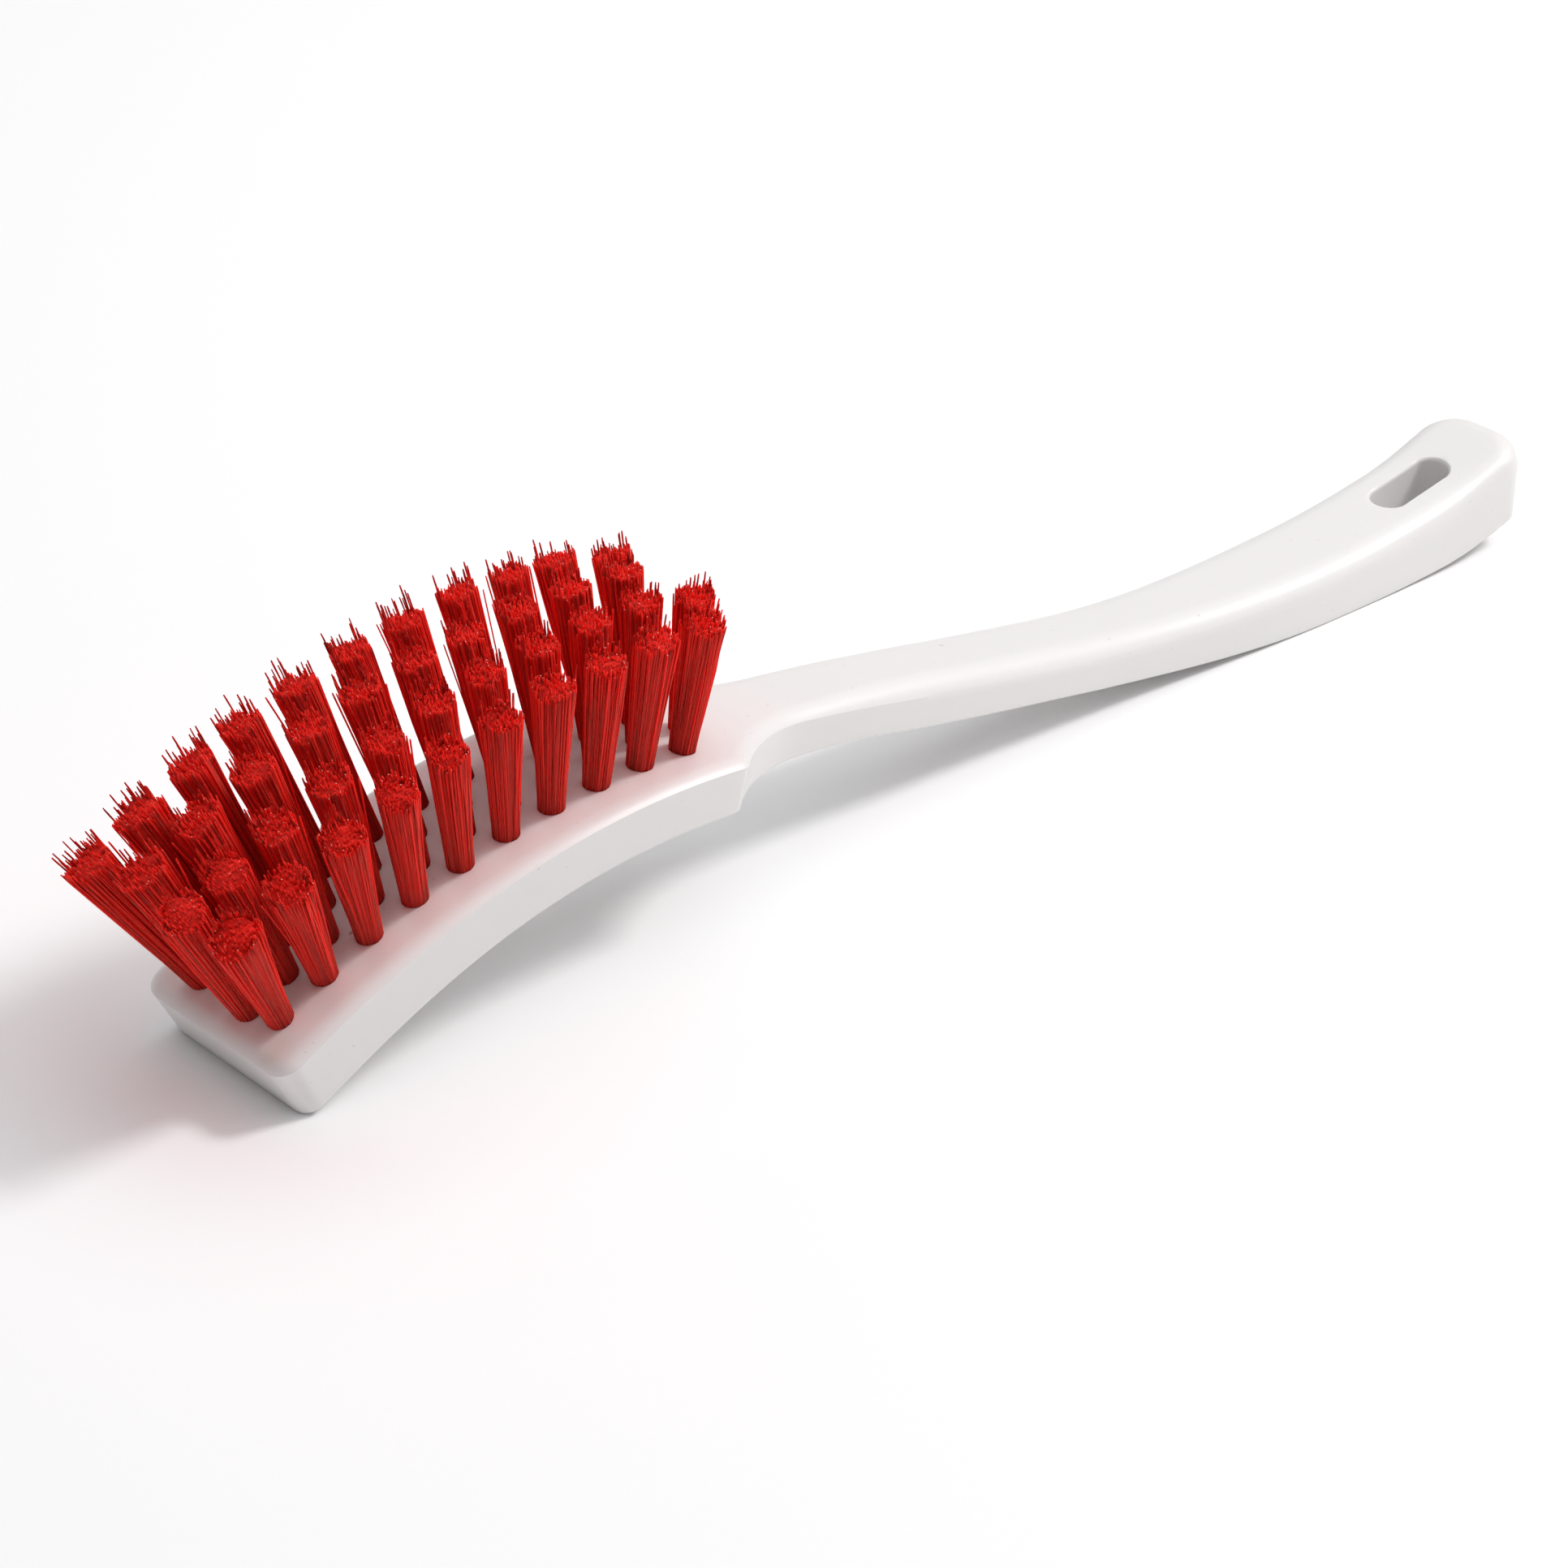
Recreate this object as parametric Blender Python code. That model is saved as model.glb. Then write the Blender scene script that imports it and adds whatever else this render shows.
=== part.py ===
import math
import random

import bmesh
import bpy
import numpy as np
from mathutils import Matrix, Vector

# Long-handled scrub brush lying on its back, bristles up. Metres, +X nose to
# handle end, +Y across, +Z up, on the floor at the nose edge and the belly.

MM = 0.001
GAP = 0.3 * MM

# Spine: the parting line seen from the side, as tangent arcs from the nose.
HEAD_LENGTH = 121.6 * MM
NOSE_HEADING = math.radians(29.5)
NOSE_FLAT_LENGTH = 14.5 * MM
NOSE_FLAT_TURN = -2.2
HEAD_ARCH_TURN = -28.4
HEAD_END_LENGTH = 19.1 * MM
HEAD_END_TURN = -5.3
NECK_FALL_LENGTH = 55.6 * MM
NECK_FALL_TURN = -4.9
GRIP_LENGTH = 60.7 * MM
GRIP_TURN = 2.1
GRIP_SWEEP_LENGTH = 78.9 * MM
GRIP_SWEEP_TURN = 9.75
BELLY_LENGTH = 50.1 * MM
BELLY_TURN = 5.9
END_CURL_LENGTH = 16.7 * MM
END_CURL_TURN = 10.5
END_LIP_LENGTH = 18.1 * MM
END_LIP_TURN = 1.2
HEAD_ARCH_LENGTH = HEAD_LENGTH - NOSE_FLAT_LENGTH - HEAD_END_LENGTH
SPINE = ((NOSE_FLAT_LENGTH, NOSE_FLAT_TURN), (HEAD_ARCH_LENGTH, HEAD_ARCH_TURN),
         (HEAD_END_LENGTH, HEAD_END_TURN), (NECK_FALL_LENGTH, NECK_FALL_TURN),
         (GRIP_LENGTH, GRIP_TURN), (GRIP_SWEEP_LENGTH, GRIP_SWEEP_TURN),
         (BELLY_LENGTH, BELLY_TURN), (END_CURL_LENGTH, END_CURL_TURN),
         (END_LIP_LENGTH, END_LIP_TURN))
SPINE_LENGTH = sum(length for length, turn in SPINE)

# Plan: half widths, corners and the waisted shoulder.
HEAD_HALF_WIDTH = 20.8 * MM
NOSE_CORNER = 4.6 * MM
SHOULDER_LENGTH = 27.5 * MM
SHOULDER_CORNER = 3.7 * MM
SHOULDER_SWEEP = 41.8 * MM
NECK_HALF_WIDTH = 10.15 * MM
GRIP_HALF_WIDTH = 10.5 * MM
BELLY_HALF_WIDTH = 13.0 * MM
END_HALF_WIDTH = 13.85 * MM
END_CORNER = 10.8 * MM
NECK_WIDENS_OVER = 46.0 * MM
GRIP_EVEN_OVER = 55.0 * MM
END_WIDENS_OVER = 76.0 * MM
SHOULDER_AT = HEAD_LENGTH
NECK_AT = SHOULDER_AT + SHOULDER_LENGTH
GRIP_FROM = NECK_AT + NECK_WIDENS_OVER
GRIP_TO = GRIP_FROM + GRIP_EVEN_OVER
BELLY_WIDE_AT = SPINE_LENGTH - END_WIDENS_OVER

# Depth of the side face below the parting line.
NOSE_DEPTH = 13.3 * MM
HEAD_DEPTH = 11.7 * MM
SHOULDER_DEPTH = 10.35 * MM
NECK_DEPTH = 7.7 * MM
GRIP_DEPTH = 7.7 * MM
BELLY_DEPTH = 11.3 * MM
END_DEPTH = 13.8 * MM
NECK_THINS_OVER = 21.0 * MM
GRIP_THIN_OVER = 55.0 * MM
END_DEEPENS_OVER = 71.0 * MM
HEAD_DEPTH_AT = HEAD_LENGTH / 2
NECK_DEPTH_AT = NECK_AT + NECK_THINS_OVER
GRIP_DEPTH_AT = NECK_DEPTH_AT + GRIP_THIN_OVER
BELLY_DEPTH_AT = SPINE_LENGTH - END_DEEPENS_OVER
END_LEAN = 4.2 * MM
SIDE_DRAFT = 0.4 * MM
BACK_EDGE = 0.6 * MM
BELLY_FLAT = 0.12 * MM

# Rounded shoulder of the section, from the parting line to the flat top.
HEAD_ROUND = 3.7 * MM
HEAD_CROWN = 1.4 * MM
GRIP_ROUND = 5.7 * MM
GRIP_CROWN = 3.6 * MM
END_ROUND = 5.2 * MM
END_CROWN = 5.1 * MM
NECK_ROUNDS_OVER = 51.0 * MM
GRIP_ROUND_AT = NECK_AT + NECK_ROUNDS_OVER
BELLY_ROUND_AT = BELLY_DEPTH_AT
ROUND_STEPS = 4

# Hang slot through the handle end.
SLOT_LENGTH = 25.4 * MM
SLOT_WIDTH = 8.9 * MM
SLOT_TO_END = 19.3 * MM
SLOT_AT = SPINE_LENGTH - SLOT_TO_END - SLOT_LENGTH / 2

# Tufts: four staggered rows, fanned out both ways.
ROW_PITCH = 6.8 * MM
FIRST_TUFT = 9.6 * MM
LAST_TUFT_TO_SHOULDER = 2.4 * MM
ODD_ROW = tuple(range(10))
EVEN_ROW = (-0.18, 0.65) + tuple(1.55 + i for i in range(9))
TUFT_PITCH = (HEAD_LENGTH - FIRST_TUFT - LAST_TUFT_TO_SHOULDER) / EVEN_ROW[-1]
OUTER_SPLAY = math.radians(13.5)
NOSE_LEAN = math.radians(-2.5)
HANDLE_LEAN = math.radians(-8.0)
HOLE_RADIUS = 2.7 * MM
HOLE_DEPTH = 8.0 * MM
HOLE_SIDES = 12
PLUG_RADIUS = HOLE_RADIUS - GAP / math.cos(math.pi / HOLE_SIDES)
PLUG_STANDS = 0.9 * MM
STRAND_BURIED = 1.2 * MM
TRIM_LENGTH = 35.0 * MM
TRIM_RAGGED = 1.3 * MM
OUTER_STRANDS = 7
INNER_STRANDS = 3
OUTER_ROOT = 1.75 * MM
OUTER_TIP = 3.9 * MM
INNER_ROOT = 0.75 * MM
INNER_TIP = 1.7 * MM
STRAND_ROOT = 0.44 * MM
STRAND_TIP = 0.50 * MM

STATION_STEP = 7.0 * MM
CORNER_STEPS = 5
CUTTER_OVER = 3.0 * MM

for old in list(bpy.data.objects):
    bpy.data.objects.remove(old, do_unlink=True)


def collection(name):
    made = bpy.data.collections.new(name)
    bpy.context.scene.collection.children.link(made)
    return made


parts = collection("long_handled_scrub_brush")
cutters = collection("cutters")


def material(name, colour, roughness, metallic=0.0):
    made = bpy.data.materials.new(name)
    made.use_nodes = True
    shader = made.node_tree.nodes["Principled BSDF"]
    shader.inputs["Base Color"].default_value = (*colour, 1.0)
    shader.inputs["Roughness"].default_value = roughness
    shader.inputs["Metallic"].default_value = metallic
    made.diffuse_color = (*colour, 1.0)
    return made


white_plastic = material("white_plastic", (0.86, 0.85, 0.83), 0.38)
red_bristle = material("red_bristle", (0.62, 0.012, 0.008), 0.42)


def finish(name, mesh_builder, mat, where):
    mesh = bpy.data.meshes.new(name)
    bmesh.ops.recalc_face_normals(mesh_builder, faces=mesh_builder.faces)
    mesh_builder.to_mesh(mesh)
    mesh_builder.free()
    made = bpy.data.objects.new(name, mesh)
    if mat:
        mesh.materials.append(mat)
    where.objects.link(made)
    return made


def eased(stations, at):
    """Value at a distance along the spine, smooth through (distance, value)."""
    where = [s for s, v in stations]
    value = [v for s, v in stations]
    at = min(max(at, where[0]), where[-1])
    i = min(max(int(np.searchsorted(where, at)) - 1, 0), len(where) - 2)
    rise = [(value[j + 1] - value[j]) / (where[j + 1] - where[j])
            for j in range(len(where) - 1)]

    def slope(j):
        if j == 0 or j == len(where) - 1:
            return 0.0
        if rise[j - 1] * rise[j] <= 0:
            return 0.0
        return 2 * rise[j - 1] * rise[j] / (rise[j - 1] + rise[j])

    span = where[i + 1] - where[i]
    t = (at - where[i]) / span
    return (value[i] * (1 + 2 * t) * (1 - t) ** 2
            + slope(i) * span * t * (1 - t) ** 2
            + value[i + 1] * t * t * (3 - 2 * t)
            + slope(i + 1) * span * t * t * (t - 1))


def depth_at(s):
    return eased(((0, NOSE_DEPTH), (HEAD_DEPTH_AT, HEAD_DEPTH),
                  (SHOULDER_AT, SHOULDER_DEPTH), (NECK_DEPTH_AT, NECK_DEPTH),
                  (GRIP_DEPTH_AT, GRIP_DEPTH), (BELLY_DEPTH_AT, BELLY_DEPTH),
                  (SPINE_LENGTH, END_DEPTH)), s)


def round_at(s):
    return eased(((0, HEAD_ROUND), (SHOULDER_AT, HEAD_ROUND),
                  (GRIP_ROUND_AT, GRIP_ROUND), (BELLY_ROUND_AT, GRIP_ROUND),
                  (SPINE_LENGTH, END_ROUND)), s)


def crown_at(s):
    return eased(((0, HEAD_CROWN), (SHOULDER_AT, HEAD_CROWN),
                  (GRIP_ROUND_AT, GRIP_CROWN), (BELLY_ROUND_AT, GRIP_CROWN),
                  (SPINE_LENGTH, END_CROWN)), s)


def handle_half_width(s):
    return eased(((NECK_AT, NECK_HALF_WIDTH), (GRIP_FROM, GRIP_HALF_WIDTH),
                  (GRIP_TO, GRIP_HALF_WIDTH), (BELLY_WIDE_AT, BELLY_HALF_WIDTH),
                  (SPINE_LENGTH, END_HALF_WIDTH)), s)


class Spine:
    """The side profile: a chain of arcs, turned until the brush lies at rest."""

    def __init__(self):
        self.tilt = 0.0
        self.shift = Vector((0, 0, 0))
        for attempt in range(6):
            low = [self.point(s, 0, -depth_at(s)) for s in self.samples(SHOULDER_AT)]
            belly = min(low, key=lambda p: p.z)
            nose = self.point(SIDE_DRAFT + BACK_EDGE, 0, -NOSE_DEPTH)
            self.tilt -= math.atan2(belly.z - nose.z, belly.x - nose.x)
            self.shift.z -= self.point(SIDE_DRAFT + BACK_EDGE, 0, -NOSE_DEPTH).z
        self.shift.z -= BELLY_FLAT

    def samples(self, start):
        return np.linspace(start, SPINE_LENGTH, 240)

    def frame(self, s):
        x, z, heading, left = 0.0, 0.0, NOSE_HEADING + self.tilt, s
        if left < 0:
            x, z, left = left * math.cos(heading), left * math.sin(heading), 0.0
        for length, turn in SPINE:
            run = min(left, length)
            bend = math.radians(turn) * run / length
            chord = run if abs(bend) < 1e-9 else run * math.sin(bend / 2) / (bend / 2)
            x += chord * math.cos(heading + bend / 2)
            z += chord * math.sin(heading + bend / 2)
            heading += bend
            left -= run
            if left <= 0:
                break
        x += left * math.cos(heading)
        z += left * math.sin(heading)
        return x, z, heading

    def point(self, s, y, height):
        x, z, heading = self.frame(s)
        return self.shift + Vector((x - height * math.sin(heading), y,
                                    z + height * math.cos(heading)))


spine = Spine()


# Tuft frames: where each tuft leaves the face, and which way it points.
def tuft_frame(row, place):
    s = FIRST_TUFT + TUFT_PITCH * place
    across = row - 2.5
    x, z, heading = spine.frame(s)
    lean = NOSE_LEAN + HANDLE_LEAN * (place / 9) ** 2 - heading
    splay = OUTER_SPLAY * across / 1.5
    out = Vector((math.sin(lean) * math.cos(splay), math.sin(splay),
                  math.cos(lean) * math.cos(splay)))
    origin = spine.point(s, across * ROW_PITCH, HEAD_CROWN)
    side = Vector((0, 1, 0)).cross(out).normalized()
    turn = Matrix((side, out.cross(side), out)).transposed().to_4x4()
    return Matrix.Translation(origin) @ turn


# The origin is midway along the brush, bristle tips included.
tip_edge = Vector((-OUTER_TIP - STRAND_TIP, 0, TRIM_LENGTH))
front = min((tuft_frame(row, min(EVEN_ROW)) @ tip_edge).x for row in (2, 4))
back = max(spine.point(SPINE_LENGTH, 0, 0).x,
           spine.point(SPINE_LENGTH - SIDE_DRAFT - END_LEAN, 0, BACK_EDGE - END_DEPTH).x)
spine.shift.x -= (front + back) / 2


def arc(cx, cy, radius, start, end, steps):
    """Points of an arc in the plan, with their outward directions."""
    out = []
    for i in range(steps + 1):
        a = math.radians(start + (end - start) * i / steps)
        out.append((cx + radius * math.cos(a), cy + radius * math.sin(a),
                    math.cos(a), math.sin(a)))
    return out


def plan_half():
    """The outline on the +Y side: distance along, half width, outward direction."""
    w = HEAD_HALF_WIDTH
    r = NOSE_CORNER
    out = arc(r, w - r, r, 180, 90, CORNER_STEPS)
    sweep_y = NECK_HALF_WIDTH + SHOULDER_SWEEP
    lean = math.degrees(math.acos((sweep_y - w) / SHOULDER_SWEEP))
    meet = NECK_AT - SHOULDER_SWEEP * math.sin(math.radians(lean))
    cut = SHOULDER_CORNER * math.tan(math.radians(lean / 2))
    stations = int(round((meet - cut - r) / STATION_STEP))
    for i in range(1, stations):
        out.append((r + (meet - cut - r) * i / stations, w, 0.0, 1.0))
    out += arc(meet - cut, w - SHOULDER_CORNER, SHOULDER_CORNER, 90, 90 - lean, 3)
    joined = cut * math.cos(math.radians(lean))
    lean_in = math.degrees(math.asin((NECK_AT - meet - joined) / SHOULDER_SWEEP))
    steps = 6
    for i in range(steps + 1):
        a = math.radians(lean_in * (1 - i / steps))
        out.append((NECK_AT - SHOULDER_SWEEP * math.sin(a),
                    sweep_y - SHOULDER_SWEEP * math.cos(a), math.sin(a), math.cos(a)))
    last = SPINE_LENGTH - END_CORNER
    stations = int(round((last - NECK_AT) / STATION_STEP))
    for i in range(1, stations + 1):
        s = NECK_AT + (last - NECK_AT) * i / stations
        nudge = STATION_STEP / 14
        run = handle_half_width(s + nudge) - handle_half_width(s - nudge)
        flat = math.hypot(run, 2 * nudge)
        out.append((s, handle_half_width(s), -run / flat, 2 * nudge / flat))
    w = handle_half_width(last)
    out += arc(last, w - END_CORNER, END_CORNER, 90, 0, 7)[1:]
    return out


def section_ring(half, inset, height_of, end_lean=0.0):
    """One closed ring of the loft, at an inset from the outline."""
    near = []
    far = []
    for s, w, ds, dy in half:
        u = inset(s)
        lean = end_lean if s > SPINE_LENGTH - END_CORNER else 0.0
        at = s - ds * (u + lean)
        y = w - dy * u
        height = height_of(s)
        far.append(spine.point(at, y, height))
        near.append(spine.point(at, -y, height))
    return far, near


def round_profile(step):
    """Inset and height of the rounded shoulder at one of its steps."""

    def inset(s):
        half_turn = 2 * math.atan(crown_at(s) / round_at(s))
        radius = round_at(s) / math.sin(half_turn)
        return round_at(s) - radius * math.sin(half_turn * (1 - step / ROUND_STEPS))

    def height(s):
        half_turn = 2 * math.atan(crown_at(s) / round_at(s))
        radius = round_at(s) / math.sin(half_turn)
        return radius * (math.cos(half_turn * (1 - step / ROUND_STEPS))
                         - math.cos(half_turn))

    return inset, height


# Moulding: head and handle in one piece, lofted because its width, depth and
# rounding all change along it.
def loft_moulding():
    half = plan_half()
    rings = [section_ring(half, lambda s: SIDE_DRAFT + BACK_EDGE,
                          lambda s: -depth_at(s), END_LEAN),
             section_ring(half, lambda s: SIDE_DRAFT, lambda s: BACK_EDGE - depth_at(s),
                          END_LEAN)]
    for step in range(ROUND_STEPS + 1):
        rings.append(section_ring(half, *round_profile(step)))
    bm = bmesh.new()
    rows = []
    for far, near in rings:
        rows.append(([bm.verts.new((p.x, p.y, max(p.z, 0.0))) for p in far],
                     [bm.verts.new((p.x, p.y, max(p.z, 0.0))) for p in near]))
    count = len(half)
    for (far_a, near_a), (far_b, near_b) in zip(rows, rows[1:]):
        for i in range(count - 1):
            bm.faces.new((far_a[i], far_a[i + 1], far_b[i + 1], far_b[i]))
            bm.faces.new((near_a[i + 1], near_a[i], near_b[i], near_b[i + 1]))
        bm.faces.new((far_a[0], far_b[0], near_b[0], near_a[0]))
        bm.faces.new((far_b[-1], far_a[-1], near_a[-1], near_b[-1]))
    for far, near in (rows[0], rows[-1]):
        for i in range(count - 1):
            bm.faces.new((far[i], far[i + 1], near[i + 1], near[i]))
    return finish("brush_moulding", bm, white_plastic, parts)


moulding = loft_moulding()

tufts = []
for row in (1, 2, 3, 4):
    places = ODD_ROW if row % 2 else EVEN_ROW
    for number, place in enumerate(places, start=1):
        tufts.append((row, number, tuft_frame(row, place)))


# Blind tuft holes, cut together.
def cut_away(target, cutter):
    cutter.hide_render = True
    cutter.display_type = 'WIRE'
    change = target.modifiers.new(cutter.name, 'BOOLEAN')
    change.operation = 'DIFFERENCE'
    change.solver = 'EXACT'
    change.object = cutter


bm = bmesh.new()
for row, number, frame in tufts:
    length = HOLE_DEPTH + CUTTER_OVER
    middle = Matrix.Translation((0, 0, CUTTER_OVER - length / 2))
    bmesh.ops.create_cone(bm, cap_ends=True, segments=HOLE_SIDES, radius1=HOLE_RADIUS,
                          radius2=HOLE_RADIUS, depth=length, matrix=frame @ middle)
cut_away(moulding, finish("tuft_hole_cutter", bm, None, cutters))


# Hang slot, square to the face at its middle.
def obround_prism(name, length, width, depth, frame):
    bm = bmesh.new()
    made = bmesh.ops.create_circle(bm, cap_ends=True, segments=24, radius=width / 2)
    reach = (length - width) / 2
    for v in made["verts"]:
        if abs(v.co.x) > 1e-6:
            v.co.x += math.copysign(reach, v.co.x)
    middle = [v for v in made["verts"] if abs(v.co.x) <= 1e-6]
    for v in middle:
        v.co.x = -reach
    grown = bmesh.ops.extrude_face_region(bm, geom=list(bm.faces))
    moved = [g for g in grown["geom"] if isinstance(g, bmesh.types.BMVert)]
    bmesh.ops.translate(bm, verts=moved, vec=(0, 0, depth))
    bmesh.ops.translate(bm, verts=bm.verts, vec=(0, 0, -depth / 2))
    bmesh.ops.transform(bm, matrix=frame, verts=bm.verts)
    return finish(name, bm, None, cutters)


x, z, heading = spine.frame(SLOT_AT)
slot_frame = (Matrix.Translation(spine.point(SLOT_AT, 0, -END_DEPTH / 2))
              @ Matrix.Rotation(-heading, 4, 'Y'))
cut_away(moulding, obround_prism("hang_slot_cutter", SLOT_LENGTH, SLOT_WIDTH,
                                 3 * END_DEPTH, slot_frame))


# Tufts: a staple-set root plug with coarse strands that fan out of it.
def strand(bm, root, tip, turn):
    """A three-sided strand from a point in the plug to its cut end."""
    along = tip - root
    aim = along.to_track_quat('Z', 'Y').to_matrix().to_4x4()
    middle = Matrix.Translation((root + tip) / 2)
    bmesh.ops.create_cone(bm, cap_ends=True, segments=3, radius1=STRAND_ROOT,
                          radius2=STRAND_TIP, depth=along.length,
                          matrix=middle @ aim @ Matrix.Rotation(turn, 4, 'Z'))


def make_tuft(row, number, frame):
    name = f"tuft_row{row}_{number:02d}"
    draw = random.Random(100 * row + number)
    bm = bmesh.new()
    bottom = GAP - HOLE_DEPTH
    length = PLUG_STANDS - bottom
    bmesh.ops.create_cone(bm, cap_ends=True, segments=HOLE_SIDES, radius1=PLUG_RADIUS,
                          radius2=PLUG_RADIUS, depth=length,
                          matrix=Matrix.Translation((0, 0, (bottom + PLUG_STANDS) / 2)))
    tuft = finish(name, bm, red_bristle, parts)
    bm = bmesh.new()
    sets = ((OUTER_STRANDS, OUTER_ROOT, OUTER_TIP), (INNER_STRANDS, INNER_ROOT, INNER_TIP))
    for count, root_radius, tip_radius in sets:
        start = draw.uniform(0, math.tau)
        for i in range(count):
            a = start + math.tau * i / count
            height = TRIM_LENGTH + draw.uniform(-1, 1) * TRIM_RAGGED
            out = Vector((math.cos(a), math.sin(a), 0))
            root = out * root_radius + Vector((0, 0, PLUG_STANDS - STRAND_BURIED))
            tip = out * tip_radius + Vector((0, 0, height))
            strand(bm, root, tip, a)
    strands = finish(name + "_strands", bm, None, cutters)
    strands.hide_render = True
    strands.display_type = 'WIRE'
    join = tuft.modifiers.new("strands", 'BOOLEAN')
    join.operation = 'UNION'
    join.solver = 'EXACT'
    join.object = strands
    tuft.matrix_world = frame
    strands.matrix_world = frame
    return tuft


for row, number, frame in tufts:
    make_tuft(row, number, frame)

for made in parts.objects:
    made.data.shade_smooth()
    made.data.set_sharp_from_angle(angle=math.radians(35))
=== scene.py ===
import math
import random

import bmesh
import bpy
from mathutils import Matrix, Vector


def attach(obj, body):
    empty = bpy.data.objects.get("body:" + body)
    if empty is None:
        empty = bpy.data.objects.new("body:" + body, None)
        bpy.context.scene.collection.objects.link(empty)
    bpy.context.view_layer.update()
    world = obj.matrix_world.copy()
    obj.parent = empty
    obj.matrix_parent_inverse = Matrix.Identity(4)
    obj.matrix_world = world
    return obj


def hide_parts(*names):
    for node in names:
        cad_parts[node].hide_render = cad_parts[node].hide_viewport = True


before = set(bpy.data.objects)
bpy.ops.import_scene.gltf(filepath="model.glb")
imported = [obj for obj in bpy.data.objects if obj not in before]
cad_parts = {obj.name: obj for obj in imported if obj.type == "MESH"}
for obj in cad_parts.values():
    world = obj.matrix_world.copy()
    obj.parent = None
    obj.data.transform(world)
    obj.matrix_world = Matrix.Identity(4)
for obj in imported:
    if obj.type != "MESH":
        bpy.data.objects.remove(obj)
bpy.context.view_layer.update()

mm = 0.001

# Camera: about 0.9 m from the brush, above its nose and near side, with a long
# lens and a slight roll. It came from fitting the outlines seen in the photograph.
camera_place = Vector((-583.3, -494.7, 432.4)) * mm
camera_turn = math.radians(-47.72)
camera_lift = math.radians(29.81)
camera_roll = math.radians(5.03)
backward = Vector((math.sin(camera_turn) * math.cos(camera_lift),
                   -math.cos(camera_turn) * math.cos(camera_lift),
                   math.sin(camera_lift)))
level_right = Vector((math.cos(camera_turn), math.sin(camera_turn), 0))
level_up = backward.cross(level_right)
camera_right = level_right * math.cos(camera_roll) + level_up * math.sin(camera_roll)
camera_up = level_up * math.cos(camera_roll) - level_right * math.sin(camera_roll)
lens = bpy.data.cameras.new("photo_camera")
lens.sensor_width = 36
lens.lens = 94.05
camera = bpy.data.objects.new("photo_camera", lens)
bpy.context.scene.collection.objects.link(camera)
camera.matrix_world = (Matrix.Translation(camera_place)
                       @ Matrix((camera_right, camera_up, backward)).transposed().to_4x4())
bpy.context.scene.camera = camera
bpy.context.scene.view_settings.view_transform = "Standard"


# A material's nodes, written as sums: Reading wraps a number's socket, and Finish
# makes the nodes.
class Reading:
    def __init__(self, finish, socket):
        self.finish = finish
        self.socket = socket

    def sum_of(self, operation, *values):
        return self.finish.node("ShaderNodeMath", {"operation": operation}, *values)

    def __add__(self, other):
        return self.sum_of("ADD", self, other)

    def __radd__(self, other):
        return self.sum_of("ADD", other, self)

    def __mul__(self, other):
        return self.sum_of("MULTIPLY", self, other)

    def __rmul__(self, other):
        return self.sum_of("MULTIPLY", other, self)


class Finish:
    """One procedural finish around a Principled shader."""

    def __init__(self, name, colour, roughness):
        self.material = bpy.data.materials.new(name)
        self.material.use_nodes = True
        self.material.diffuse_color = (*colour, 1)
        self.nodes = self.material.node_tree.nodes
        self.links = self.material.node_tree.links
        self.shader = self.nodes["Principled BSDF"]
        self.shader.inputs["Base Color"].default_value = (*colour, 1)
        self.shader.inputs["Roughness"].default_value = roughness

    def node(self, kind, settings, *values, out=0, **named):
        made = self.nodes.new(kind)
        for setting, value in settings.items():
            setattr(made, setting, value)
        for where, value in [*enumerate(values), *named.items()]:
            where = where.replace("_", " ") if isinstance(where, str) else where
            self.feed(made.inputs[where], value)
        return Reading(self, made.outputs[out])

    def feed(self, socket, value):
        if isinstance(value, Reading):
            self.links.new(value.socket, socket)
        elif isinstance(value, tuple) and len(value) == 3 and socket.type == "RGBA":
            socket.default_value = (*value, 1)
        else:
            socket.default_value = value

    def place(self, stretch=(1, 1, 1), centre=(0, 0, 0)):
        """Object coordinates, moved to a centre and stretched."""
        where = self.node("ShaderNodeTexCoord", {}, out="Object")
        shifted = self.node("ShaderNodeVectorMath", {"operation": "SUBTRACT"}, where, centre)
        return self.node("ShaderNodeVectorMath", {"operation": "MULTIPLY"}, shifted, stretch)

    def noise(self, size, stretch=(1, 1, 1), detail=3.0, seed=0.0):
        """Noise from 0 to 1 whose lumps are about size metres across."""
        return self.node("ShaderNodeTexNoise", {"noise_dimensions": "4D"}, out="Fac",
                         Vector=self.place(stretch), W=seed, Scale=1 / size, Detail=detail)

    def ramp(self, value, low, high):
        """0 below low, 1 above high, smooth between."""
        return self.node("ShaderNodeMapRange", {"interpolation_type": "SMOOTHSTEP"},
                         value, low, high)

    def mix(self, factor, colour_a, colour_b):
        """Colour a where the factor is 0, colour b where it is 1."""
        made = self.nodes.new("ShaderNodeMix")
        made.data_type = "RGBA"
        # A Mix node also has sockets for numbers and vectors; these are its colour ones.
        for socket, value in ((0, factor), (6, colour_a), (7, colour_b)):
            self.feed(made.inputs[socket], value)
        return Reading(self, made.outputs[2])

    def bump(self, height, depth, strength=1.0, under=None):
        made = self.node("ShaderNodeBump", {}, Strength=strength, Distance=depth,
                         Height=height)
        if under:
            self.links.new(under.socket, made.socket.node.inputs["Normal"])
        return made

    def set(self, **inputs):
        for name, value in inputs.items():
            self.feed(self.shader.inputs[name.replace("_", " ")], value)


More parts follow.
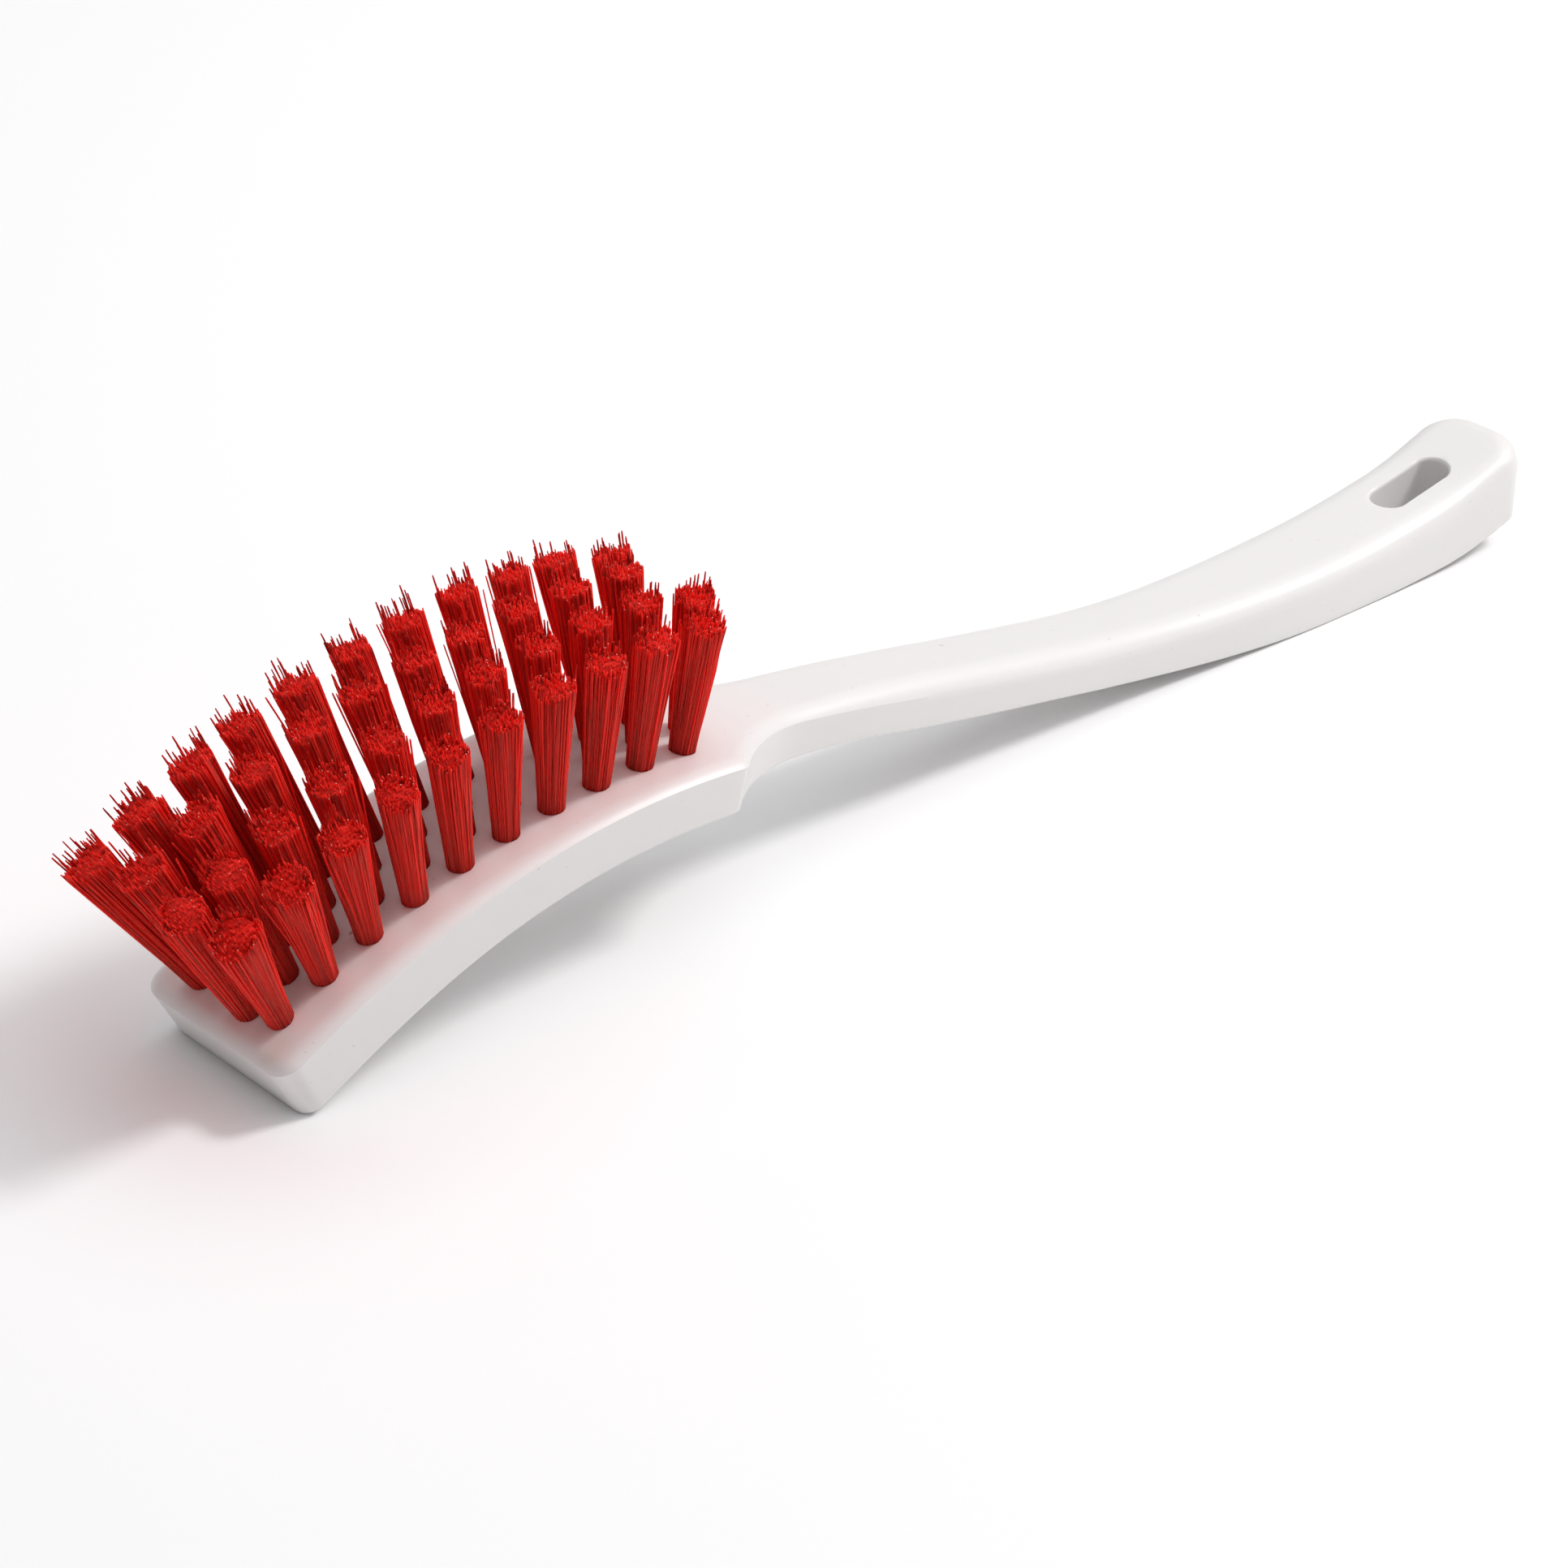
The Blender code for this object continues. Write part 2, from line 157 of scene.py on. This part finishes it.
# Floor: plain white matt paper with a fine tooth, laid flat. It gives off no light of
# its own, so its shadows are the brush's.
paper = Finish("white_paper", (0.95, 0.95, 0.95), 0.9)
paper_tooth = paper.noise(0.002, detail=2.0)
paper.set(Base_Color=paper.mix(paper_tooth, (0.945, 0.945, 0.95), (0.955, 0.955, 0.955)),
          Specular_IOR_Level=0.0)
half_floor = 4.0
bm = bmesh.new()
bmesh.ops.create_grid(bm, x_segments=1, y_segments=1, size=half_floor)
sweep_mesh = bpy.data.meshes.new("white_sweep")
bm.to_mesh(sweep_mesh)
bm.free()
sweep = bpy.data.objects.new("white_sweep", sweep_mesh)
bpy.context.scene.collection.objects.link(sweep)
sweep_mesh.materials.append(paper.material)


# Studio light: a wide panel overhead, a softbox beyond the handle and a weak panel
# behind, in a pale room. All are large and soft, so no shadow has a hard edge.
def soft_light(name, shape, place, aim, across, power, colour):
    light = bpy.data.lights.new(name, "AREA")
    light.shape = shape
    light.size = across
    light.energy = power
    light.color = colour
    made = bpy.data.objects.new(name, light)
    made.location = place
    made.rotation_euler = (Vector(aim) - Vector(place)).to_track_quat("-Z", "Y").to_euler()
    bpy.context.scene.collection.objects.link(made)


soft_light("ceiling_panel", "SQUARE", (0.3, -0.15, 1.9), (0.3, -0.15, 0.0), 3.0, 32.0,
           (0.96, 0.975, 1.0))
soft_light("key_softbox", "DISK", (1.16, -0.59, 1.45), (0.0, 0.0, 0.0), 0.5, 19.0,
           (1.0, 0.98, 0.965))
soft_light("back_panel", "SQUARE", (0.2, 1.6, 0.8), (0.0, 0.0, 0.0), 1.5, 1.5,
           (0.97, 0.96, 1.0))
room = bpy.data.worlds.new("bright_room")
room.use_nodes = True
room.node_tree.nodes["Background"].inputs["Color"].default_value = (1.0, 0.98, 0.97, 1)
room.node_tree.nodes["Background"].inputs["Strength"].default_value = 0.25
bpy.context.scene.world = room


# Head and handle: one injection moulding in white polypropylene. The tuft holes are
# drilled after moulding, and the parting line runs round under the rounded top edge.
nose_place = Vector((-188.865, 0.0, 10.987)) * mm
nose_heading = math.radians(29.458)
side_arcs = ((14.5, -2.2), (88.0, -28.4), (19.1, -5.3), (55.6, -4.9), (60.7, 2.1),
             (78.9, 9.75), (50.1, 5.9), (16.7, 10.5), (18.1, 1.2))
brush_length = sum(length for length, turn in side_arcs)
head_length = 121.6
neck_at = 149.1
head_half = 20.8
nose_corner = 4.6
shoulder_corner = 3.7
shoulder_sweep = 41.8
neck_half = 10.15
end_corner = 10.8
end_lean = 4.2
half_widths = ((neck_at, neck_half), (195.1, 10.5), (250.1, 10.5), (325.7, 13.0),
               (brush_length, 13.85))
depths = ((0, 13.3), (60.8, 11.7), (head_length, 10.35), (170.1, 7.7), (225.1, 7.7),
          (330.7, 11.3), (brush_length, 13.8))
band_widths = ((0, 3.7), (head_length, 3.7), (200.1, 5.7), (330.7, 5.7), (brush_length, 5.2))
band_heights = ((0, 1.4), (head_length, 1.4), (200.1, 3.6), (330.7, 3.6), (brush_length, 5.1))


def along(stations, at):
    """A size at a distance from the nose, easing through its stations."""
    at = min(max(at, stations[0][0]), stations[-1][0])
    i = max(n for n in range(len(stations) - 1) if stations[n][0] <= at)
    rise = [(b[1] - a[1]) / (b[0] - a[0]) for a, b in zip(stations, stations[1:])]

    def slope(n):
        if n in (0, len(stations) - 1) or rise[n - 1] * rise[n] <= 0:
            return 0.0
        return 2 * rise[n - 1] * rise[n] / (rise[n - 1] + rise[n])

    span = stations[i + 1][0] - stations[i][0]
    t = (at - stations[i][0]) / span
    return (stations[i][1] * (1 + 2 * t) * (1 - t) ** 2 + slope(i) * span * t * (1 - t) ** 2
            + stations[i + 1][1] * t * t * (3 - 2 * t) + slope(i + 1) * span * t * t * (t - 1))


def side_view(at):
    """Where the parting line is at a distance from the nose, and its heading."""
    x, z, heading = min(at, 0.0) * math.cos(nose_heading), 0.0, nose_heading
    z = min(at, 0.0) * math.sin(nose_heading)
    left = max(at, 0.0)
    for length, turn in side_arcs:
        run = min(left, length)
        bend = math.radians(turn) * run / length
        chord = run * (math.sin(bend / 2) / (bend / 2) if abs(bend) > 1e-9 else 1.0)
        x += chord * math.cos(heading + bend / 2)
        z += chord * math.sin(heading + bend / 2)
        heading += bend
        left -= run
    return x + left * math.cos(heading), z + left * math.sin(heading), heading


def on_brush(at, y, height):
    """A point given along the brush, across it, and square off the parting line."""
    x, z, heading = side_view(at)
    point = nose_place + mm * Vector((x - height * math.sin(heading), y,
                                      z + height * math.cos(heading)))
    point.z = max(point.z, 0.0)
    return point


def corner(cx, cy, radius, start, end, steps):
    angles = [math.radians(start + (end - start) * n / steps) for n in range(steps + 1)]
    return [(cx + radius * math.cos(a), cy + radius * math.sin(a), math.cos(a), math.sin(a))
            for a in angles]


nose_steps = 12
head_steps = 58
shoulder_steps = 8
sweep_steps = 24
handle_steps = 120
end_steps = 24


def half_outline():
    """The plan of one side from nose to end: distance, half width, outward direction."""
    sweep_centre = neck_half + shoulder_sweep
    lean = math.acos((sweep_centre - head_half) / shoulder_sweep)
    meet = neck_at - shoulder_sweep * math.sin(lean)
    cut = shoulder_corner * math.tan(lean / 2)
    rows = corner(nose_corner, head_half - nose_corner, nose_corner, 180, 90, nose_steps)
    rows += [(nose_corner + (meet - cut - nose_corner) * n / head_steps, head_half, 0.0, 1.0)
             for n in range(1, head_steps)]
    rows += corner(meet - cut, head_half - shoulder_corner, shoulder_corner, 90,
                   90 - math.degrees(lean), shoulder_steps)
    lean_in = math.asin((neck_at - meet - cut * math.cos(lean)) / shoulder_sweep)
    for n in range(sweep_steps + 1):
        a = lean_in * (1 - n / sweep_steps)
        rows.append((neck_at - shoulder_sweep * math.sin(a),
                     sweep_centre - shoulder_sweep * math.cos(a), math.sin(a), math.cos(a)))
    last = brush_length - end_corner
    for n in range(1, handle_steps + 1):
        at = neck_at + (last - neck_at) * n / handle_steps
        widening = along(half_widths, at + 0.5) - along(half_widths, at - 0.5)
        rows.append((at, along(half_widths, at), -widening / math.hypot(widening, 1),
                     1 / math.hypot(widening, 1)))
    rows += corner(last, along(half_widths, last) - end_corner, end_corner, 90, 0, end_steps)[1:]
    return rows


band_steps = 10
side_steps = 4
edge_steps = 3
back_edge = 0.9
side_draft = 0.4


def section_levels(at):
    """The section's outline at one place, from the back up: (inset, height) pairs."""
    depth = along(depths, at)
    wide = along(band_widths, at)
    half_turn = 2 * math.atan(along(band_heights, at) / wide)
    radius = wide / math.sin(half_turn)
    levels = []
    for n in range(edge_steps + 1):
        a = math.radians(90 * n / edge_steps)
        levels.append((side_draft + back_edge * (1 - math.sin(a)),
                       back_edge * (1 - math.cos(a)) - depth))
    for n in range(1, side_steps + 1):
        t = n / (side_steps + 1)
        levels.append((side_draft * (1 - t), (back_edge - depth) * (1 - t)))
    for n in range(band_steps + 1):
        a = half_turn * (1 - n / band_steps)
        levels.append((wide - radius * math.sin(a), radius * (math.cos(a) - math.cos(half_turn))))
    return levels


outline = half_outline()
level_count = edge_steps + side_steps + band_steps + 1
across_steps = 16
bm = bmesh.new()
bmesh.ops.create_grid(bm, x_segments=len(outline) - 1, y_segments=across_steps, size=0.5)
lifted = bmesh.ops.extrude_face_region(bm, geom=bm.faces[:])["geom"]
bmesh.ops.translate(bm, verts=[g for g in lifted if isinstance(g, bmesh.types.BMVert)],
                    vec=(0, 0, 1))
uprights = [e for e in bm.edges if abs(e.verts[0].co.z - e.verts[1].co.z) > 0.5]
bmesh.ops.subdivide_edges(bm, edges=uprights, cuts=level_count - 1)
levels_at = [section_levels(row[0]) for row in outline]
for v in bm.verts:
    row = round((v.co.x + 0.5) * (len(outline) - 1))
    level = round(v.co.z * level_count)
    at, half, out_along, out_across = outline[row]
    inset, height = levels_at[row][level]
    lean = end_lean if at > brush_length - end_corner else 0.0
    lean *= min(1.0, max(0.0, -height / along(depths, at)))
    v.co = on_brush(at - out_along * (inset + lean), 2 * v.co.y * (half - out_across * inset),
                    height)
bmesh.ops.recalc_face_normals(bm, faces=bm.faces)
moulding_mesh = bpy.data.meshes.new("white_moulding")
bm.to_mesh(moulding_mesh)
bm.free()
moulding = bpy.data.objects.new("white_moulding", moulding_mesh)
bpy.context.scene.collection.objects.link(moulding)

# Tuft places: four staggered rows, drilled so that they fan out along the head and
# to both sides. The moulding is drilled here, and the tufts below use the same places.
hole_radius = 2.7
hole_depth = 8.0
drill_clear = 3.0
row_pitch = 6.8
first_tuft = 9.6
tuft_pitch = 11.476
tuft_places = {row: range(10) if row % 2 else (-0.18, 0.65, *(1.55 + n for n in range(9)))
               for row in (1, 2, 3, 4)}


def tuft_frame(row, place):
    """A frame at the mouth of a tuft's hole, with Z along the tuft."""
    at = first_tuft + tuft_pitch * place
    across = row - 2.5
    lean = math.radians(-2.5 - 8.0 * (place / 9) ** 2) - side_view(at)[2]
    splay = math.radians(13.5) * across / 1.5
    out = Vector((math.sin(lean) * math.cos(splay), math.sin(splay),
                  math.cos(lean) * math.cos(splay)))
    side = Vector((0, 1, 0)).cross(out).normalized()
    turn = Matrix((side, out.cross(side), out)).transposed().to_4x4()
    return Matrix.Translation(on_brush(at, across * row_pitch, band_heights[0][1])) @ turn


def cut_out(name, bm):
    """Cuts a closed shape out of the moulding."""
    bmesh.ops.recalc_face_normals(bm, faces=bm.faces)
    mesh = bpy.data.meshes.new(name)
    bm.to_mesh(mesh)
    bm.free()
    cutter = bpy.data.objects.new(name, mesh)
    bpy.context.scene.collection.objects.link(cutter)
    change = moulding.modifiers.new(name, "BOOLEAN")
    change.operation = "DIFFERENCE"
    change.solver = "EXACT"
    change.object = cutter
    shaped = bpy.data.meshes.new_from_object(
        moulding.evaluated_get(bpy.context.evaluated_depsgraph_get()))
    moulding.modifiers.clear()
    moulding.data = shaped
    bpy.data.objects.remove(cutter)


bm = bmesh.new()
for row, places in tuft_places.items():
    for place in places:
        drill = Matrix.Translation((0, 0, -hole_depth * mm / 2 + drill_clear / 2 * mm))
        bmesh.ops.create_cone(bm, cap_ends=True, segments=28, radius1=hole_radius * mm,
                              radius2=hole_radius * mm, depth=(hole_depth + drill_clear) * mm,
                              matrix=tuft_frame(row, place) @ drill)
cut_out("tuft_drill", bm)

# Hang slot: moulded through the handle end, with soft rims where hooks rub.
slot_at = 369.7
slot_reach = 8.25
slot_radius = 4.45
rim = 1.1
slot_sides = 64
settling_rounds = 6
slot_heading = side_view(slot_at)[2]


def slot_point(angle, grow, face, height):
    """A point round the slot, grown outwards, off the top face or the back."""
    radius = slot_radius + grow
    at = slot_at + math.copysign(slot_reach, math.cos(angle)) + radius * math.cos(angle)
    y = radius * math.sin(angle)
    if face == "top":
        return on_brush(at, y, along(band_heights, at) + height)
    wall_top = on_brush(at, y, along(band_heights, at))
    back_at = at
    for settling in range(settling_rounds):
        point = on_brush(back_at, y, height - along(depths, back_at))
        off = point - wall_top
        back_at -= (off.x * math.cos(slot_heading) + off.z * math.sin(slot_heading)) / mm
    return point


# The slot's core, ring by ring from under the back to over the top: which face, how far
# grown outwards, and how far off that face. The rims are quarter rounds.
rim_flare = 1.5
slot_rings = [("bottom", rim + rim_flare, -3.0), ("bottom", rim, -0.25)]
slot_rings += [("bottom", rim * (1 - math.cos(a)), rim * (1 - math.sin(a)) - 0.15)
               for a in (math.radians(75 - 15 * n) for n in range(6))]
slot_rings += [("top", rim * (1 - math.cos(a)), rim * (math.sin(a) - 1) + 0.12)
               for a in (math.radians(15 * n) for n in range(6))]
slot_rings += [("top", rim, 0.25), ("top", rim + rim_flare, 4.0)]
bm = bmesh.new()
ring = bmesh.ops.create_circle(bm, cap_ends=True, segments=slot_sides, radius=1.0)["verts"]
angles = [math.atan2(v.co.y, v.co.x) + 1e-4 for v in ring]
face, grow, height = slot_rings[0]
for v, angle in zip(ring, angles):
    v.co = slot_point(angle, grow, face, height)
lid = list(bm.faces)
for face, grow, height in slot_rings[1:]:
    grown = bmesh.ops.extrude_face_region(bm, geom=lid)["geom"]
    if lid[0].is_valid and len(bm.faces) > slot_sides + 2:
        bmesh.ops.delete(bm, geom=lid, context="FACES_ONLY")
    lid = [g for g in grown if isinstance(g, bmesh.types.BMFace)]
    for v, angle in zip(lid[0].verts, angles):
        v.co = slot_point(angle, grow, face, height)
cut_out("slot_core", bm)

moulding.data.shade_smooth()
moulding.data.set_sharp_from_angle(angle=math.radians(33))

# The plastic is faintly cloudy, with fine grain and moulding ripple under a low gloss,
# scuffed along its length, and with the few small marks that use has left.
polypropylene = Finish("white_polypropylene", (0.86, 0.85, 0.83), 0.36)
cloudy = polypropylene.noise(0.03, detail=3.0, seed=1.0)
white = polypropylene.mix(cloudy, (0.82, 0.81, 0.80), (0.80, 0.785, 0.775))
blotchy = polypropylene.noise(0.004, detail=4.0, seed=4.0)


def patch(centre, across, uneven):
    """1 inside a small rounded patch of the moulding, 0 outside it."""
    away = polypropylene.node("ShaderNodeVectorMath", {"operation": "LENGTH"},
                              polypropylene.place(tuple(1 / (a * mm) for a in across),
                                                  tuple(Vector(centre) * mm)), out="Value")
    return polypropylene.ramp(away + uneven * blotchy, 1.0 + uneven * 0.5, 0.4)


corner_dirt = patch((-186.9, -15.0, 14.5), (6.0, 4.5, 4.0), 1.2)
white = polypropylene.mix(0.40 * corner_dirt, white, (0.62, 0.53, 0.36))
dirt_fleck = patch((-161.7, -6.9, 26.0), (0.9, 0.7, 1.0), 0.6)
white = polypropylene.mix(0.75 * dirt_fleck, white, (0.40, 0.26, 0.24))
neck_pit = patch((10.5, 3.5, 26.0), (0.8, 0.8, 1.5), 0.3)
white = polypropylene.mix(0.5 * neck_pit, white, (0.50, 0.49, 0.50))
specks = polypropylene.ramp(polypropylene.noise(0.0011, detail=1.0, seed=7.0), 0.76, 0.78)
white = polypropylene.mix(0.25 * specks, white, (0.30, 0.24, 0.18))
scuffs = polypropylene.noise(0.0016, stretch=(0.12, 1, 1), detail=4.0, seed=3.0)
grain = polypropylene.noise(0.0007, detail=2.0, seed=5.0)
ripple = polypropylene.noise(0.009, detail=1.0, seed=6.0)
skin = polypropylene.bump(grain, 0.00002, 0.5)
polypropylene.set(Base_Color=white, Roughness=0.30 + 0.14 * scuffs,
                  Normal=polypropylene.bump(ripple, 0.00010, 0.5, under=skin),
                  IOR=1.49, Subsurface_Weight=0.15, Subsurface_Scale=0.003)
polypropylene.shader.inputs["Subsurface Radius"].default_value = (1.0, 0.9, 0.8)
moulding.data.materials.clear()
moulding.data.materials.append(polypropylene.material)
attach(moulding, "root")
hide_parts("brush_moulding")

# Bristles: red polyester filament, folded over a metal anchor and driven into each
# hole, so a tuft is tight at its root, opens towards its ends, and is trimmed ragged.
filaments = 190
filament_radius = 0.185
root_radius = 2.50
root_sunk = 3.0
trim_length = 34.6
opening = 1.15
golden_turn = 2.39996
ring_levels = (0.0, 0.30, 0.66, 0.975, 1.0)
ring_steps = len(ring_levels) - 1
core_sides = 24
core_levels = ((-root_sunk, 0.88), (0.0, 0.94), (8.0, 0.955), (18.0, 0.965), (27.0, 0.955),
               (33.4, 0.90))

# Shares of the filaments: those on a tuft's far half that stand out of it, those that
# wander further than the rest, and those whose cut end carries a painted glint.
stray_share = 0.22
bent_share = 0.05
glint_share = 0.05
glint_cut = 1.0
plain_cut = 0.99
stray_shade = 2.0

# How used tufts have settled, (row, number): degrees more towards the handle, degrees
# more towards the far side, and mm longer than the trim.
settled = {(4, 1): (-3.4, -0.1, 2.0), (4, 2): (0.8, -0.3, 2.1), (4, 3): (2.1, -0.4, 2.6),
           (4, 4): (0.6, 1.0, 1.8), (4, 5): (0.0, 0.9, 1.5), (4, 6): (0.5, 1.2, 1.3),
           (4, 7): (0.3, 1.0, 1.1), (4, 8): (0.4, 0.0, 1.5), (4, 9): (0.4, 0.0, 0.6),
           (4, 10): (-0.6, 0.0, 0.0), (4, 11): (0.7, -3.0, -2.0),
           (3, 1): (0.0, 2.0, 1.2), (3, 2): (1.0, 1.5, 1.5), (3, 3): (1.5, 1.5, 1.5),
           (3, 4): (0.9, 1.5, 1.3), (3, 5): (0.1, 1.5, 1.2), (3, 6): (0.0, 1.5, 0.3),
           (3, 7): (-1.2, 1.4, 0.3), (3, 8): (-1.2, 1.2, 0.0), (3, 9): (-0.3, 0.3, 0.0),
           (3, 10): (-0.3, -1.8, 0.8), (2, 3): (0.5, 0.0, 0.0), (2, 4): (0.5, 0.0, 0.0),
           (2, 5): (0.3, 0.0, 0.0), (2, 6): (-0.1, 1.2, 0.0), (2, 7): (-1.1, 1.2, 0.0),
           (2, 8): (-1.2, 1.2, 0.0), (2, 9): (-0.6, 0.4, 0.0), (2, 11): (0.8, -2.8, -1.2),
           (1, 5): (-1.0, 0.8, 0.0), (1, 6): (-1.2, 0.8, 0.0), (1, 7): (-1.3, 0.7, 0.0),
           (1, 8): (-1.2, 0.3, 0.0), (1, 9): (-1.0, 0.0, 0.0), (1, 10): (-0.7, 0.0, 0.0)}

filament_red = Finish("red_filament", (0.58, 0.010, 0.008), 0.42)
strand = filament_red.node("ShaderNodeUVMap", {"uv_map": "strand"})
parts = filament_red.node("ShaderNodeSeparateXYZ", {}, strand)
own_shade = Reading(filament_red, parts.socket.node.outputs["X"])
up_strand = Reading(filament_red, parts.socket.node.outputs["Y"])
# Each filament's red differs a little at random. It is also painted lighter on clumps that stand
# up and darker where they sink, as painted shade in the grooves.
red = filament_red.mix(own_shade, (0.95, 0.024, 0.017), (1.0, 0.042, 0.030))
streaks = filament_red.noise(0.006, detail=2.0, seed=2.0)
red = filament_red.mix(0.2 * streaks, red, (0.90, 0.019, 0.014))

# Towards the cut end the red is painted slightly deeper, as painted shade, so that the tops
# facing the lamps are no lighter than the sides. The ends of filaments that stand out of
# the tuft are painted nearly black, as painted shade, and a few cut ends are painted pale,
# as painted glints.
painted_tip_shade = filament_red.ramp(up_strand, 0.88, 0.99)
red = filament_red.mix(0.2 * painted_tip_shade, red, (0.52, 0.010, 0.008))
# Painted shade: the ends of stray filaments are painted nearly black.
stray_end_painted_shade = (filament_red.ramp(own_shade, 1.2, 1.8)
                * filament_red.ramp(up_strand, 0.90, 0.97))
red = filament_red.mix(0.8 * stray_end_painted_shade, red, (0.12, 0.008, 0.006))
# Painted glints: a few cut ends are painted pale, as highlights off the cut faces.
painted_glint_end = filament_red.ramp(up_strand, 0.992, 0.998)
red = filament_red.mix(0.7 * painted_glint_end, red, (0.95, 0.55, 0.50))
filament_red.set(Base_Color=red, Roughness=0.55 + 0.16 * streaks, Specular_IOR_Level=0.07,
                 Subsurface_Weight=0.7, Subsurface_Scale=0.002)
filament_red.shader.inputs["Subsurface Radius"].default_value = (1.0, 0.04, 0.03)

# One filament, 1 long and 1 in radius, which every tuft below repeats.
pattern = bmesh.new()
bmesh.ops.create_cone(pattern, cap_ends=True, segments=4, radius1=1.0, radius2=1.0, depth=1.0)
lengths = [e for e in pattern.edges if abs(e.verts[0].co.z - e.verts[1].co.z) > 0.5]
bmesh.ops.subdivide_edges(pattern, edges=lengths, cuts=ring_steps - 1)
bmesh.ops.translate(pattern, verts=pattern.verts, vec=(0, 0, 0.5))
pattern_mesh = bpy.data.meshes.new("filament_pattern")
pattern.to_mesh(pattern_mesh)
pattern.free()


def clumping(clumps, angle):
    """How far the filaments stand up or sink together at an angle, from -1 to 1."""
    return sum(math.sin(k * angle + start) for k, start in clumps) / len(clumps)


def bristle_tuft(row, number, place):
    """A grooved inner bundle with single filaments all through and round it."""
    draw = random.Random(1000 * row + number)
    along_lean, across_lean, longer = settled.get((row, number), (0.0, 0.0, 0.0))
    frame_of_tuft = (tuft_frame(row, place)
                     @ Matrix.Rotation(math.radians(along_lean - 0.6), 4, "Y")
                     @ Matrix.Rotation(math.radians(-across_lean), 4, "X"))
    back_to_tuft = frame_of_tuft.inverted()
    tip_radius = 3.7 + 1.0 * max(0.0, 1 - place / 4) + 0.10 * place / 9
    bm = bmesh.new()
    uv = bm.loops.layers.uv.new("strand")
    squash = draw.uniform(0.9, 1.1)
    twist = draw.uniform(0, math.pi)
    clumps = [(k, draw.uniform(0, math.tau)) for k in (2, 3, 5, 8)]
    bmesh.ops.create_cone(bm, cap_ends=True, segments=core_sides, radius1=1.0, radius2=1.0,
                          depth=1.0)
    lengthwise = [e for e in bm.edges if abs(e.verts[0].co.z - e.verts[1].co.z) > 0.5]
    bmesh.ops.subdivide_edges(bm, edges=lengthwise, cuts=len(core_levels) - 2)
    for v in bm.verts:
        z, fill = core_levels[round((v.co.z + 0.5) * (len(core_levels) - 1))]
        angle = math.atan2(v.co.y, v.co.x)
        groove = 1.0 - 0.07 * (round(angle / math.tau * core_sides) % 2)
        radius = fill * groove * (root_radius + (tip_radius - root_radius)
                                  * max(0.0, z / trim_length) ** opening)
        raised = longer + 1.4 * clumping(clumps, angle) if z == core_levels[-1][0] else 0.0
        v.co = Vector((radius * math.cos(angle), radius * math.sin(angle), z + raised)) * mm
    bm.normal_update()
    for f in bm.faces:
        # The bundle's red is painted lighter where its clumps stand up and darker where they
        # sink, as painted shade.
        middle = f.calc_center_median()
        clump = clumping(clumps, math.atan2(middle.y, middle.x))
        for loop in f.loops:
            # The bundle's top faces take a value near the cut end, so they get the same painted
            # tip shade.
            loop[uv].uv = (0.4 + 0.5 * clump, 0.97 if f.normal.z > 0.5
                           else min(0.9, max(0.0, loop.vert.co.z / mm / 36)))
    bmesh.ops.transform(bm, verts=bm.verts, matrix=frame_of_tuft)
    for n in range(filaments):
        share = math.sqrt((n + 0.5) / filaments) if n % 2 else draw.uniform(0.93, 1.0)
        angle = n * golden_turn + draw.uniform(-0.1, 0.1)
        out = Vector((math.cos(angle), math.sin(angle), 0))
        root = out * root_radius * share
        widened = squash if math.cos(angle - twist) ** 2 > 0.5 else 1 / squash
        spread = tip_radius * share * widened
        clump = clumping(clumps, angle)
        height = (trim_length + longer + draw.gauss(0, 0.15 + 0.25 * share ** 2)
                  + (1.3 * clump - 0.5) * share ** 2)
        wander = Vector((draw.gauss(0, 0.22), draw.gauss(0, 0.22), 0))
        stray = share > 0.8 and out.y > -0.2 and draw.random() < stray_share
        if stray:
            height += draw.uniform(1.0, 4.2 if place < 7 else 2.8)
        if draw.random() < bent_share:
            wander *= 4.0
        tip = out * spread + wander
        bow = Vector((draw.gauss(0, 0.18), draw.gauss(0, 0.18), 0))
        spin = draw.uniform(0, math.tau)
        # Painted shade: raised clumps get a lighter red, sunken ones a darker red.
        shade = (stray_shade if stray
                 else min(1.0, max(0.0, 0.5 + 0.55 * clump + draw.gauss(0, 0.05))))
        # A few cut ends are marked for a painted glint.
        cut = glint_cut if draw.random() < glint_share and not stray else plain_cut
        before = len(bm.verts)
        faces_before = len(bm.faces)
        bm.from_mesh(pattern_mesh)
        bm.verts.ensure_lookup_table()
        bm.faces.ensure_lookup_table()
        for v in bm.verts[before:]:
            ring_number = round(v.co.z * ring_steps)
            t = ring_levels[ring_number]
            z = -root_sunk + (height + root_sunk) * t
            up = max(0.0, z / height)
            centre = root.lerp(tip, up ** opening) + bow * 4 * up * (1 - up)
            ring = Vector((v.co.x, v.co.y, 0)) * filament_radius
            ring *= 0.8 if ring_number == ring_steps else 1.0
            ring.rotate(Matrix.Rotation(spin, 3, "Z"))
            v.co = frame_of_tuft @ ((centre + ring + Vector((0, 0, z))) * mm)
        for f in bm.faces[faces_before:]:
            levels = [(back_to_tuft @ loop.vert.co).z / mm for loop in f.loops]
            is_cut_end = min(levels) > height - 0.1
            for loop, z in zip(f.loops, levels):
                up = min(0.98, (z + root_sunk) / (height + root_sunk))
                loop[uv].uv = (shade, cut if is_cut_end else up)
    mesh = bpy.data.meshes.new(f"bristles_row{row}_{number:02d}")
    bm.to_mesh(mesh)
    bm.free()
    mesh.shade_smooth()
    made = bpy.data.objects.new(mesh.name, mesh)
    bpy.context.scene.collection.objects.link(made)
    mesh.materials.append(filament_red.material)
    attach(made, "root")
    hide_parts(f"tuft_row{row}_{number:02d}")


for row, places in tuft_places.items():
    for number, place in enumerate(places, start=1):
        bristle_tuft(row, number, place)
